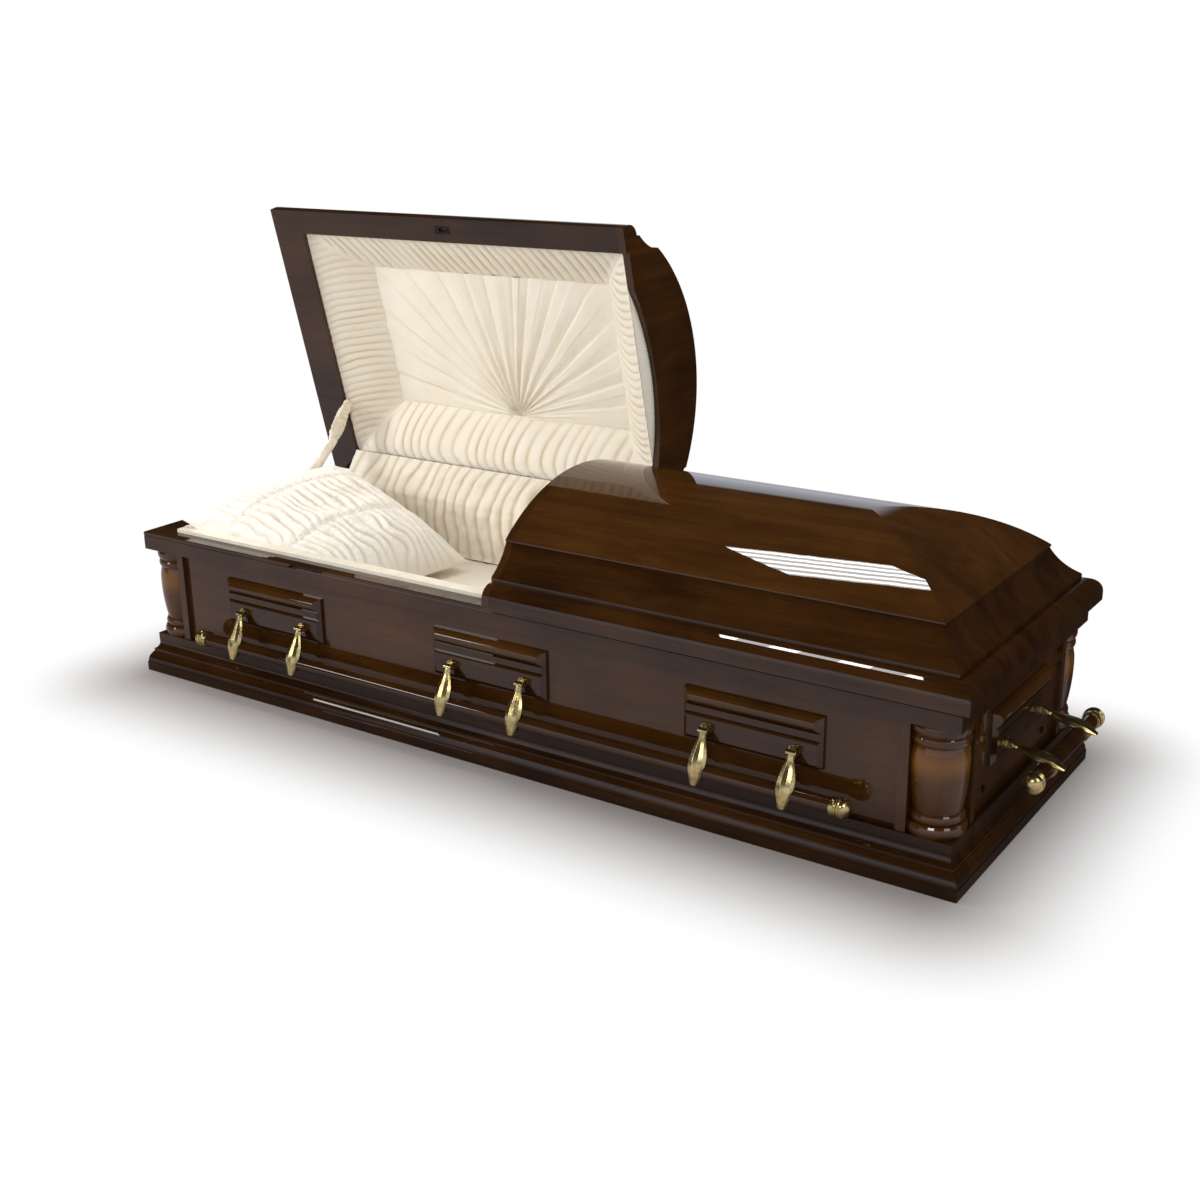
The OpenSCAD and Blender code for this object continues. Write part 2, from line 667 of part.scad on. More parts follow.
bottom_board();
base_moldings();
walls([0, 2]);  // side_walls
walls([1, 3]);  // end_walls
corner_posts();
column(1, 0);  // column_front_head
column(0, 0);  // column_front_foot
column(0, 1);  // column_rear_foot
column(1, 1);  // column_rear_head
top_rails();
end_plugs();
handle_plate(0, -plate_pitch);  // plate_front_head
handle_plate(0, 0);  // plate_front_middle
handle_plate(0, plate_pitch);  // plate_front_foot
handle_plate(2, plate_pitch);  // plate_rear_head
handle_plate(2, 0);  // plate_rear_middle
handle_plate(2, -plate_pitch);  // plate_rear_foot
handle_plate(1, 0);  // plate_foot_end
handle_plate(3, 0);  // plate_head_end
ears(0);  // ears_front
ears(1);  // ears_foot
ears(2);  // ears_rear
ears(3);  // ears_head
arms(0, hang_tilt);  // arms_front
bar(0, hang_tilt, side_bar_half);  // bar_front
caps(0, hang_tilt, side_bar_half);  // caps_front
arms(1, out_tilt);  // arms_foot
bar(1, out_tilt, end_bar_half);  // bar_foot
caps(1, out_tilt, end_bar_half);  // caps_foot
arms(2, hang_tilt);  // arms_rear
bar(2, hang_tilt, side_bar_half);  // bar_rear
caps(2, hang_tilt, side_bar_half);  // caps_rear
arms(3, hang_tilt);  // arms_head
bar(3, hang_tilt, end_bar_half);  // bar_head
caps(3, hang_tilt, end_bar_half);  // caps_head
rail_locks();
rail_strip();
wall_lining();
bed_bearers();
mattress();
pillow();
hinge_leaves();
stay_seat();
opened(open_deg) lid_rim(-1);  // head_rim
opened(open_deg) lid_molding(-1);  // head_molding
opened(open_deg) lid_crown(-1);  // head_crown
opened(open_deg) lid_header(-1);  // head_header
opened(open_deg) head_border();
opened(open_deg) head_panel();
opened(open_deg) lid_catch(-1);  // head_catch
opened(open_deg) lid_hinges(head_hinge_x);  // head_hinges
opened(open_deg) stay_ear();
stay_upper();
stay_lower();
lid_rim(1);  // foot_rim
lid_molding(1);  // foot_molding
lid_crown(1);  // foot_crown
lid_header(1);  // foot_header
lid_catch(1);  // foot_catch
lid_hinges(foot_hinge_x);  // foot_hinges
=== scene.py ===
import bpy
import bmesh
import json
import math
from mathutils import Matrix, Vector, noise


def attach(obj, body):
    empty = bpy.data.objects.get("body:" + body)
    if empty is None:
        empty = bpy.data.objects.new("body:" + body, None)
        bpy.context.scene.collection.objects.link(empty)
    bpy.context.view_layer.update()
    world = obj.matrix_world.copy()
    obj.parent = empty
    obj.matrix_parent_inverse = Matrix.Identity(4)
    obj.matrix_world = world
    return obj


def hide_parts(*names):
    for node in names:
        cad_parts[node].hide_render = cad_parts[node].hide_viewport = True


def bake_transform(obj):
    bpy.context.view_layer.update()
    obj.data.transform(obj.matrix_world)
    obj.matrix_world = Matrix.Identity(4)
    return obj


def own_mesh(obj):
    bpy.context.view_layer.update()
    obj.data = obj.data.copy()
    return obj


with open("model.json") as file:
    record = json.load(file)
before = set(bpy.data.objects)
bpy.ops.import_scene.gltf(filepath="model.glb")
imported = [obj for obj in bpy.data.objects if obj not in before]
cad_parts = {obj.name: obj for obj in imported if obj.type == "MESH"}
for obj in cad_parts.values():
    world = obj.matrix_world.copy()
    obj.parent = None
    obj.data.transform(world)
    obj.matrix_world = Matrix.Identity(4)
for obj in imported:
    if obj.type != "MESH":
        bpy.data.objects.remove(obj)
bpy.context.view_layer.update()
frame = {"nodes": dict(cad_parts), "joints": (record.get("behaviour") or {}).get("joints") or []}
nodes = frame["nodes"]
joints = {j["name"]: j for j in frame["joints"]}
print("frame loaded:", len(nodes), "nodes")


# small helpers
def newPiece(name, bm, smooth=True):
    mesh = bpy.data.meshes.new(name)
    bmesh.ops.recalc_face_normals(bm, faces=bm.faces)
    for f in bm.faces:
        f.smooth = smooth
    bm.to_mesh(mesh)
    bm.free()
    piece = bpy.data.objects.new(name, mesh)
    bpy.context.scene.collection.objects.link(piece)
    return piece


def gridPiece(name, across, down, shape):
    # a grid whose points are placed by shape(u, w), with u and w from 0 to 1; a shape may
    # also give a point's painted shade, how much its colour is darkened in the valleys between folds
    bm = bmesh.new()
    # the "valley" attribute carries the painted shade of the folds
    deep = bm.verts.layers.float.new("valley")
    bmesh.ops.create_grid(bm, x_segments=across, y_segments=down, size=0.5)
    for v in bm.verts:
        made = shape(v.co.x + 0.5, v.co.y + 0.5)
        if isinstance(made, tuple):
            v.co, v[deep] = made
        else:
            v.co = made
    return newPiece(name, bm)


def mix(a, b, t):
    return a + (b - a) * t


def fold(t):
    # a row of soft folds: round tops and sharp valleys, one per unit of t
    return abs(math.sin(math.pi * t)) ** 0.75


def pipe(t):
    # a row of round pipes that meet in sharp valleys
    f = 2 * (t - math.floor(t)) - 1
    return math.sqrt(max(0.0, 1 - f * f))


def crease(t, front, back):
    # a flat cloth with one narrow crease per unit of t, steeper at its back
    f = t - round(t)
    return 1 - math.exp(-(f / (front if f > 0 else back)) ** 2)


def groove(t, share=0.16):
    # how near t lies to the valley between two pipes
    f = t - math.floor(t)
    return math.exp(-(min(f, 1 - f) / share) ** 2)


def smooth(t):
    t = min(1, max(0, t))
    return t * t * (3 - 2 * t)


def facing(piece, direction):
    # turns a sheet's faces to the side that is seen
    total = Vector((0, 0, 0))
    for f in piece.data.polygons:
        total += f.normal * f.area
    if total.dot(Vector(direction)) < 0:
        piece.data.flip_normals()
    return piece


def rough(x, y, z, size):
    return noise.noise(Vector((x, y, z)) / size)


def along(points, t):
    # a point at share t of a polyline's length
    lengths = [(b - a).length for a, b in zip(points, points[1:])]
    left = t * sum(lengths)
    for a, b, long in zip(points, points[1:], lengths):
        if left <= long:
            return a.lerp(b, left / long)
        left -= long
    return points[-1].copy()


headHinge = joints["head_lid_hinge"]
hingeLine = Vector(headHinge["pos_m"])
openTurn = Matrix.Rotation(math.radians(headHinge["range_deg"][0]), 3, "X")


def opened(p):
    # a point of the shut head lid, with the lid open
    d = Vector((p[0], p[1] - hingeLine.y, p[2] - hingeLine.z))
    r = openTurn @ d
    return Vector((r.x, r.y + hingeLine.y, r.z + hingeLine.z))


# the finishes
def newMaterial(name):
    mat = bpy.data.materials.new(name)
    mat.use_nodes = True
    tree = mat.node_tree
    return mat, tree, tree.nodes["Principled BSDF"]


def addNode(tree, kind, **values):
    node = tree.nodes.new(kind)
    for key, value in values.items():
        if hasattr(node, key):
            setattr(node, key, value)
        else:
            node.inputs[key].default_value = value
    return node


def ramp(tree, source, stops):
    node = tree.nodes.new("ShaderNodeValToRGB")
    while len(node.color_ramp.elements) < len(stops):
        node.color_ramp.elements.new(0.5)
    for element, (place, colour) in zip(node.color_ramp.elements, stops):
        element.position = place
        element.color = (*colour, 1)
    tree.links.new(source, node.inputs["Fac"])
    return node.outputs["Color"]


wood = {
    "dark": (0.017, 0.0058, 0.0012),
    "middle": (0.043, 0.0155, 0.0032),
    "light": (0.082, 0.0310, 0.0060),
    "amber": (0.25, 0.100, 0.014),
    "coatIor": 1.5,
    "coatRoughness": 0.012,
}


def woodMaterial(name, grain, amberHighlightBand=None, tone=0.0):
    # grain: the axis that the figure runs along; the band argument: (axis, low, high, strength) of a band
    # lightened to amber, partly the finish's warm tone and partly a painted highlight
    mat, tree, shader = newMaterial(name)
    link = tree.links.new
    coords = tree.nodes.new("ShaderNodeTexCoord")
    scale = [14.0, 14.0, 14.0]
    scale["XYZ".index(grain)] = 1.3
    place = addNode(tree, "ShaderNodeMapping")
    place.inputs["Scale"].default_value = scale
    link(coords.outputs["Object"], place.inputs["Vector"])
    figure = addNode(tree, "ShaderNodeTexNoise", Scale=1.4, Detail=7.0, Roughness=0.62, Distortion=0.9)
    link(place.outputs["Vector"], figure.inputs["Vector"])
    fine = addNode(tree, "ShaderNodeTexNoise", Scale=14.0, Detail=3.0, Roughness=0.7)
    link(place.outputs["Vector"], fine.inputs["Vector"])
    cloud = addNode(tree, "ShaderNodeTexNoise", Scale=5.0, Detail=3.0, Roughness=0.5)
    link(coords.outputs["Object"], cloud.inputs["Vector"])
    both = addNode(tree, "ShaderNodeMix", data_type="FLOAT")
    both.inputs["Factor"].default_value = 0.3
    link(figure.outputs["Fac"], both.inputs["A"])
    link(fine.outputs["Fac"], both.inputs["B"])
    third = addNode(tree, "ShaderNodeMix", data_type="FLOAT")
    third.inputs["Factor"].default_value = 0.35
    link(both.outputs["Result"], third.inputs["A"])
    link(cloud.outputs["Fac"], third.inputs["B"])
    value = third.outputs["Result"]
    if tone:
        shift = addNode(tree, "ShaderNodeMath", operation="ADD")
        shift.inputs[1].default_value = tone
        link(value, shift.inputs[0])
        value = shift.outputs["Value"]
    colour = ramp(tree, value, [(0.30, wood["dark"]), (0.5, wood["middle"]), (0.74, wood["light"])])
    # painted highlight: the colour is lightened unevenly to amber between two heights, on top of the
    # finish's warm tone
    if amberHighlightBand:
        axis, low, high, strength = amberHighlightBand
        split = addNode(tree, "ShaderNodeSeparateXYZ")
        link(coords.outputs["Object"], split.inputs["Vector"])
        band = tree.nodes.new("ShaderNodeMapRange")
        band.interpolation_type = "SMOOTHSTEP"
        band.inputs["From Min"].default_value = low
        band.inputs["From Max"].default_value = (low + high) / 2
        link(split.outputs[axis], band.inputs["Value"])
        away = tree.nodes.new("ShaderNodeMapRange")
        away.interpolation_type = "SMOOTHSTEP"
        away.inputs["From Min"].default_value = high
        away.inputs["From Max"].default_value = (low + high) / 2
        link(split.outputs[axis], away.inputs["Value"])
        share = addNode(tree, "ShaderNodeMath", operation="MULTIPLY")
        link(band.outputs["Result"], share.inputs[0])
        link(away.outputs["Result"], share.inputs[1])
        uneven = addNode(tree, "ShaderNodeMath", operation="MULTIPLY")
        link(share.outputs["Value"], uneven.inputs[0])
        glow = addNode(tree, "ShaderNodeMath", operation="MULTIPLY")
        glow.inputs[1].default_value = strength * 2
        link(cloud.outputs["Fac"], glow.inputs[0])
        link(glow.outputs["Value"], uneven.inputs[1])
        warm = addNode(tree, "ShaderNodeMix", data_type="RGBA")
        warm.inputs["B"].default_value = (*wood["amber"], 1)
        link(uneven.outputs["Value"], warm.inputs["Factor"])
        link(colour, warm.inputs["A"])
        colour = warm.outputs["Result"]
    link(colour, shader.inputs["Base Color"])
    shader.inputs["Roughness"].default_value = 0.4
    shader.inputs["Specular IOR Level"].default_value = 0.0
    shader.inputs["Coat Weight"].default_value = 1.0
    shader.inputs["Coat Roughness"].default_value = wood["coatRoughness"]
    shader.inputs["Coat IOR"].default_value = wood["coatIor"]
    ripple = addNode(tree, "ShaderNodeTexNoise", Scale=9.0, Detail=2.0)
    link(coords.outputs["Object"], ripple.inputs["Vector"])
    bump = addNode(tree, "ShaderNodeBump", Strength=0.05, Distance=0.004)
    link(ripple.outputs["Fac"], bump.inputs["Height"])
    link(bump.outputs["Normal"], shader.inputs["Coat Normal"])
    link(bump.outputs["Normal"], shader.inputs["Normal"])
    return mat


def clothMaterial(name, colour, shade, paintedFoldShade):
    mat, tree, shader = newMaterial(name)
    link = tree.links.new
    coords = tree.nodes.new("ShaderNodeTexCoord")
    cloud = addNode(tree, "ShaderNodeTexNoise", Scale=11.0, Detail=4.0)
    link(coords.outputs["Object"], cloud.inputs["Vector"])
    # painted shade: each point's "valley" value darkens the colour towards a deep shade colour in the
    # valleys of the folds
    folds = addNode(tree, "ShaderNodeAttribute", attribute_name="valley")
    depth = addNode(tree, "ShaderNodeMix", data_type="RGBA")
    depth.inputs["B"].default_value = (*paintedFoldShade, 1)
    link(folds.outputs["Fac"], depth.inputs["Factor"])
    link(ramp(tree, cloud.outputs["Fac"], [(0.3, shade), (0.65, colour)]), depth.inputs["A"])
    link(depth.outputs["Result"], shader.inputs["Base Color"])
    crepe = addNode(tree, "ShaderNodeTexNoise", Scale=900.0, Detail=3.0, Roughness=0.7)
    link(coords.outputs["Object"], crepe.inputs["Vector"])
    weave = addNode(tree, "ShaderNodeTexVoronoi", Scale=700.0)
    link(coords.outputs["Object"], weave.inputs["Vector"])
    both = addNode(tree, "ShaderNodeMath", operation="ADD")
    link(crepe.outputs["Fac"], both.inputs[0])
    link(weave.outputs["Distance"], both.inputs[1])
    bump = addNode(tree, "ShaderNodeBump", Strength=0.22, Distance=0.0009)
    link(both.outputs["Value"], bump.inputs["Height"])
    link(bump.outputs["Normal"], shader.inputs["Normal"])
    shader.inputs["Roughness"].default_value = 0.62
    shader.inputs["Sheen Weight"].default_value = 0.25
    shader.inputs["Sheen Roughness"].default_value = 0.4
    shader.inputs["Subsurface Weight"].default_value = 0.12
    shader.inputs["Subsurface Radius"].default_value = (0.02, 0.012, 0.008)
    shader.inputs["Subsurface Scale"].default_value = 0.3
    return mat


def metalMaterial(name, bright, dull, roughness, scale=60.0):
    mat, tree, shader = newMaterial(name)
    link = tree.links.new
    coords = tree.nodes.new("ShaderNodeTexCoord")
    worn = addNode(tree, "ShaderNodeTexNoise", Scale=scale, Detail=5.0, Roughness=0.65)
    link(coords.outputs["Object"], worn.inputs["Vector"])
    link(ramp(tree, worn.outputs["Fac"], [(0.38, dull), (0.62, bright)]), shader.inputs["Base Color"])
    polish = tree.nodes.new("ShaderNodeMapRange")
    polish.inputs["To Min"].default_value = roughness * 1.4
    polish.inputs["To Max"].default_value = roughness * 0.7
    link(worn.outputs["Fac"], polish.inputs["Value"])
    link(polish.outputs["Result"], shader.inputs["Roughness"])
    shader.inputs["Metallic"].default_value = 1.0
    brushed = addNode(tree, "ShaderNodeTexNoise", Scale=450.0, Detail=2.0)
    link(coords.outputs["Object"], brushed.inputs["Vector"])
    bump = addNode(tree, "ShaderNodeBump", Strength=0.06, Distance=0.0005)
    link(brushed.outputs["Fac"], bump.inputs["Height"])
    link(bump.outputs["Normal"], shader.inputs["Normal"])
    return mat


woodLong = woodMaterial("woodLong", "X")
woodCross = woodMaterial("woodCross", "Y")
woodUpright = woodMaterial("woodUpright", "Z")
woodCrown = woodMaterial("woodCrown", "X", tone=0.05)
# base, column and plates get a band lightened to amber between two heights: partly the finish's warm tone,
# partly a painted highlight
woodBase = woodMaterial("woodBase", "X", amberHighlightBand=("Z", 0.03, 0.062, 0.04), tone=-0.17)
woodRim = woodMaterial("woodRim", "X", tone=-0.1)
# the column's raised tone is partly a painted sheen, standing in for the bright floor reflected in its
# barrel
woodColumn = woodMaterial("woodColumn", "Z", amberHighlightBand=("Z", 0.2, 0.285, 0.42), tone=0.07)
woodPlate = woodMaterial("woodPlate", "X", amberHighlightBand=("Z", 0.245, 0.3, 0.12), tone=-0.1)
cloth = clothMaterial("cloth", (0.935, 0.87, 0.745), (0.91, 0.83, 0.69), (0.60, 0.44, 0.25))
pillowCloth = clothMaterial("pillowCloth", (0.94, 0.90, 0.825), (0.92, 0.87, 0.78), (0.62, 0.50, 0.34))
brass = metalMaterial("brass", (0.68, 0.54, 0.26), (0.40, 0.30, 0.12), 0.22)
steel = metalMaterial("steel", (0.62, 0.61, 0.58), (0.42, 0.41, 0.39), 0.32)
darkMetal = metalMaterial("darkMetal", (0.05, 0.045, 0.04), (0.015, 0.013, 0.012), 0.4)

plainWood, plainTree, plainShader = newMaterial("plainWood")
plainCoords = plainTree.nodes.new("ShaderNodeTexCoord")
plainPlace = addNode(plainTree, "ShaderNodeMapping")
plainPlace.inputs["Scale"].default_value = (2, 20, 20)
plainTree.links.new(plainCoords.outputs["Object"], plainPlace.inputs["Vector"])
plainFigure = addNode(plainTree, "ShaderNodeTexNoise", Scale=3.0, Detail=6.0, Distortion=0.6)
plainTree.links.new(plainPlace.outputs["Vector"], plainFigure.inputs["Vector"])
plainTree.links.new(ramp(plainTree, plainFigure.outputs["Fac"],
    [(0.35, (0.20, 0.12, 0.06)), (0.65, (0.36, 0.24, 0.13))]), plainShader.inputs["Base Color"])
plainShader.inputs["Roughness"].default_value = 0.7

trim, trimTree, trimShader = newMaterial("trim")
trimCoords = trimTree.nodes.new("ShaderNodeTexCoord")
trimTone = addNode(trimTree, "ShaderNodeTexNoise", Scale=25.0, Detail=3.0)
trimTree.links.new(trimCoords.outputs["Object"], trimTone.inputs["Vector"])
trimTree.links.new(ramp(trimTree, trimTone.outputs["Fac"],
    [(0.3, (0.80, 0.72, 0.58)), (0.7, (0.90, 0.84, 0.72))]), trimShader.inputs["Base Color"])
trimShader.inputs["Roughness"].default_value = 0.25
print("materials made")


# the CAD pieces get their finishes
def dress(names, mat, angle=32):
    for name in names:
        mesh = nodes[name].data
        mesh.materials.clear()
        mesh.materials.append(mat)
        for f in mesh.polygons:
            f.use_smooth = True
        mesh.set_sharp_from_angle(angle=math.radians(angle))


dress(["side_walls"], woodLong)
dress(["top_rails", "foot_molding", "head_molding", "foot_rim", "head_rim"], woodRim)
dress(["end_walls", "foot_header", "head_header"], woodCross)
dress(["corner_posts"], woodUpright)
dress(["foot_crown", "head_crown"], woodCrown)
dress(["base_moldings"], woodBase)
dress([n for n in nodes if n.startswith("column_")], woodColumn)
dress([n for n in nodes if n.startswith("plate_")], woodPlate)
dress([n for n in nodes if n.startswith("bar_")], woodRim)
dress([n for n in nodes if n.startswith(("ears_", "arms_", "caps_"))], brass)
dress(["hinge_leaves", "head_hinges", "foot_hinges"], steel)
dress([n for n in nodes if n.startswith("stay_")], steel)
dress(["rail_locks", "head_catch", "foot_catch", "end_plugs"], darkMetal)
dress(["rail_strip"], trim)
dress(["bottom_board", "bed_bearers"], plainWood)
dress(["mattress", "wall_lining", "pillow", "head_border", "head_panel"], cloth)
print("CAD pieces dressed")


# cast arms and caps of the handles
arms = {
    # height, half width, half depth, offset towards the wall (mm)
    "sections": [(7, 4.5, 3.5, 0), (3, 7, 5, 0), (-6, 8.5, 6, 0), (-14, 8.4, 5.6, 0), (-24, 11.6, 6, 0),
        (-36, 16, 6.8, -1), (-48, 19, 8, -2), (-60, 20, 8.8, -3), (-72, 18.8, 9, -3.6),
        (-84, 15.8, 7.8, -3), (-95, 12, 5.6, -1.6), (-103, 8.8, 3.8, -0.6), (-108, 6.6, 2.4, 0)],
    "facets": [(-1, 0.1), (-0.74, -0.64), (-0.27, -1), (0.27, -1), (0.74, -0.64), (1, 0.1),
        (0.7, 0.8), (-0.7, 0.8)],
    "half": 0.095, "pitch": 0.632,
    "barBack": 0.010, "barDown": 0.077,
    "collar": (0.0192, 0.016), "pin": (0.0062, 0.021),  # radius, length
}
caps = {
    # distance outward from the cap's rim, radius (mm)
    "profile": [(0, 16.2), (0.6, 18.6), (8.5, 18.9), (10, 17.6), (11.4, 19.8), (13.6, 20.4), (15.2, 18.6),
        (16.6, 20.6), (19, 21.4), (21, 19.6), (22.4, 20.9), (26, 20.6), (30, 18.6), (34, 14.6), (37.4, 9),
        (39.4, 4), (40, 0.3)],
    "reach": 0.006,
    "sideHalf": 0.855, "endHalf": 0.190,
    "steps": 56,
}
handles = {"front": (0, 21.0), "foot": (1, 75.0), "rear": (2, 21.0), "head": (3, 21.0)}


def hungPlace(side):
    # from a handle hanging straight down at the origin to its place on the casket
    quarter, tilt = handles[side]
    pivot = joints[side + "_handle_swing"]["pos_m"]
    out = abs(pivot[1]) if quarter % 2 == 0 else abs(pivot[0])
    return (Matrix.Rotation(math.radians(90 * quarter), 4, "Z") @ Matrix.Translation((0, -out, pivot[2]))
        @ Matrix.Rotation(math.radians(-tilt), 4, "X"))


def addArm(bm, place):
    loops = []
    for z, wide, deep, back in arms["sections"]:
        ring = [bm.verts.new(place @ Vector((x * wide, y * deep + back, z))) for x, y in arms["facets"]]
        loops.append([bm.edges.new(pair) for pair in zip(ring, ring[1:] + ring[:1])])
    for a, b in zip(loops, loops[1:]):
        bmesh.ops.bridge_loops(bm, edges=a + b)
    bmesh.ops.holes_fill(bm, edges=loops[0] + loops[-1])


def armsPiece(side):
    quarter = handles[side][0]
    centres = (-arms["pitch"], 0, arms["pitch"]) if quarter % 2 == 0 else (0,)
    whole = hungPlace(side)
    bm = bmesh.new()
    for x in [c + h for c in centres for h in (-arms["half"], arms["half"])]:
        addArm(bm, whole @ Matrix.Translation((x, 0, 0)) @ Matrix.Scale(0.001, 4))
        ringPlace = (whole @ Matrix.Translation((x, arms["barBack"], -arms["barDown"]))
            @ Matrix.Rotation(math.radians(90), 4, "Y"))
        bmesh.ops.create_cone(bm, cap_ends=True, segments=48, radius1=arms["collar"][0],
            radius2=arms["collar"][0], depth=arms["collar"][1], matrix=ringPlace)
        pinPlace = whole @ Matrix.Translation((x, 0, 0)) @ Matrix.Rotation(math.radians(90), 4, "Y")
        bmesh.ops.create_cone(bm, cap_ends=True, segments=32, radius1=arms["pin"][0],
            radius2=arms["pin"][0], depth=arms["pin"][1], matrix=pinPlace)
    piece = newPiece("arms_%s_cast" % side, bm)
    piece.data.materials.append(brass)
    soften = piece.modifiers.new("soften", "BEVEL")
    soften.width = 0.0007
    soften.segments = 2
    soften.limit_method = "ANGLE"
    soften.angle_limit = math.radians(14)
    soften.harden_normals = True
    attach(piece, "handle_" + side)
    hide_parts("arms_" + side)


def capsPiece(side):
    half = caps["sideHalf"] if handles[side][0] % 2 == 0 else caps["endHalf"]
    whole = hungPlace(side) @ Matrix.Translation((0, arms["barBack"], -arms["barDown"]))
    bm = bmesh.new()
    rim = half + caps["reach"] - caps["profile"][-1][0] / 1000
    for way in (1, -1):
        line = [bm.verts.new((way * (rim + out / 1000), radius / 1000, 0))
            for out, radius in caps["profile"]]
        edges = [bm.edges.new(pair) for pair in zip(line, line[1:])]
        bmesh.ops.spin(bm, geom=line + edges, axis=(1, 0, 0), cent=(0, 0, 0), angle=2 * math.pi,
            steps=caps["steps"], use_merge=True)
    bmesh.ops.holes_fill(bm, edges=[e for e in bm.edges if e.is_boundary])
    bmesh.ops.transform(bm, matrix=whole, verts=bm.verts)
    piece = newPiece("caps_%s_cast" % side, bm)
    piece.data.set_sharp_from_angle(angle=math.radians(40))
    piece.data.materials.append(brass)
    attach(piece, "handle_" + side)
    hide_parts("caps_" + side)


for side in handles:
    armsPiece(side)
    capsPiece(side)
print("brass arms and caps made")


# padded lining of the head lid
border = {
    "width": 0.12,
    "tuck": 0.004,  # how far the fan panel goes under the border
    "edgeZ": 0.3745,
    "panelZ": 0.470,
    "mitreBulge": 0.017,
    # shade: strength of the painted shade in the valleys between the folds
    "foldShare": 0.34, "shade": 0.62,
    "x0": -0.9745, "x1": -0.0075, "y": 0.3065,
    # period of the folds, how far they bow, how far the side bulges
    "front": (0.0275, 0.014, 0.019),
    "foot": (0.0215, 0.014, 0.020),
    "rear": (0.0355, 0.026, 0.032),
    "head": (0.0195, 0.009, 0.022),
}


def borderSide(side, origin, run, inward, length, seed):
    period, hook, fullest = border[side]

    def shape(u, w):
        inset = w * border["width"]
        s = mix(inset, length - inset, u)
        toMitre = min(u, 1 - u) * (length - 2 * inset)
        free = smooth(toMitre / 0.014)
        bulge = mix(border["mitreBulge"], fullest, smooth(toMitre / 0.12))
        base = mix(border["edgeZ"], border["panelZ"], w ** 0.9)
        belly = math.sin(math.pi * min(1, w * 1.03)) ** 0.7 if w < 0.97 else 0.0
        bend = hook * (w - 0.5) ** 2 * 4 + 0.004 * rough(s, w * 0.12, seed, 0.06)
        t = (s + bend) / period + 0.55 * rough(s, 0, seed, 0.13)
        strength = 0.85 + 0.5 * rough(s, w * 0.05, seed + 3, 0.045)
        depth = border["foldShare"] * period * strength * (0.5 + 0.5 * math.sin(math.pi * w) ** 0.6)
        edge = math.exp(-(w / 0.05) ** 2) + math.exp(-((1 - w) / 0.05) ** 2)
        puff = bulge * belly + free * (depth * (pipe(t) - 0.6) * (1 - 0.6 * edge))
        puff += free * edge * 0.0022 * pipe(t * 3)
        puff += free * 0.0016 * rough(s, w * 0.12, seed + 9, 0.014)
        p = origin + run * s + inward * (inset - puff * 0.35 * free)
        # dark: painted shade in the valleys between the folds, weaker at the rim and at the panel
        dark = free * min(1, max(0, strength)) * groove(t, 0.15)
        dark *= 0.35 + 0.65 * math.sin(math.pi * w) ** 0.5
        return opened((p.x, p.y, min(base - puff * 0.92, border["panelZ"]))), border["shade"] * dark
    return shape


def joined(name, parts):
    # joins several grids into one piece
    bm = bmesh.new()
    # keeps the painted fold shade of the joined parts
    bm.verts.layers.float.new("valley")
    for part in parts:
        bm.from_mesh(part.data)
        old = part.data
        bpy.data.objects.remove(part)
        bpy.data.meshes.remove(old)
    bmesh.ops.remove_doubles(bm, verts=bm.verts, dist=0.0004)
    return newPiece(name, bm)


arch = {"half": 0.22, "rise": 0.039, "spring": 0.371, "x": -0.0072, "puff": 0.009}
arch["radius"] = (arch["half"] ** 2 + arch["rise"] ** 2) / (2 * arch["rise"])


def archTop(y):
    if abs(y) > arch["half"]:
        return arch["spring"]
    return arch["spring"] + arch["rise"] - arch["radius"] + math.sqrt(arch["radius"] ** 2 - y * y)


def archCloth(u, w):
    # the cloth that closes the arch at the lid's cut end
    y = mix(-by, by, u)
    top = archTop(y) + 0.003
    z = mix(border["edgeZ"], top, w)
    share = (top - border["edgeZ"]) / 0.045
    swell = arch["puff"] * math.sin(math.pi * min(1, w * 0.9)) ** 0.7 * min(1, share)
    ruffle = 0.0022 * pipe(y / 0.0085 + 0.5 * rough(y, 0, 2, 0.03)) * smooth((w - 0.55) / 0.4)
    ruffle += 0.0012 * pipe(y / 0.02) * math.sin(math.pi * w)
    return opened((arch["x"] + swell + ruffle * min(1, share), y, z))


bx0, bx1, by = border["x0"], border["x1"], border["y"]
borderParts = [
    gridPiece("front", 640, 26, borderSide("front", Vector((bx0, -by, 0)), Vector((1, 0, 0)),
        Vector((0, 1, 0)), bx1 - bx0, 1.3)),
    gridPiece("foot", 460, 26, borderSide("foot", Vector((bx1, -by, 0)), Vector((0, 1, 0)),
        Vector((-1, 0, 0)), 2 * by, 4.1)),
    gridPiece("rear", 560, 30, borderSide("rear", Vector((bx1, by, 0)), Vector((-1, 0, 0)),
        Vector((0, -1, 0)), bx1 - bx0, 7.7)),
    gridPiece("head", 500, 26, borderSide("head", Vector((bx0, by, 0)), Vector((0, -1, 0)),
        Vector((1, 0, 0)), 2 * by, 9.2)),
    gridPiece("arch", 420, 12, archCloth),
]
lidBorder = facing(joined("lid_border_puff", borderParts), (0, -1, 0))
lidBorder.data.materials.append(cloth)
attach(lidBorder, "head_lid")
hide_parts("head_border")

fan = {
    "focus": (-0.462, 0.186),
    "rays": 17,
    # shade: strength of the painted shade along the creases
    "depth": 0.011, "shade": 0.75,
    "z": 0.4685,
}


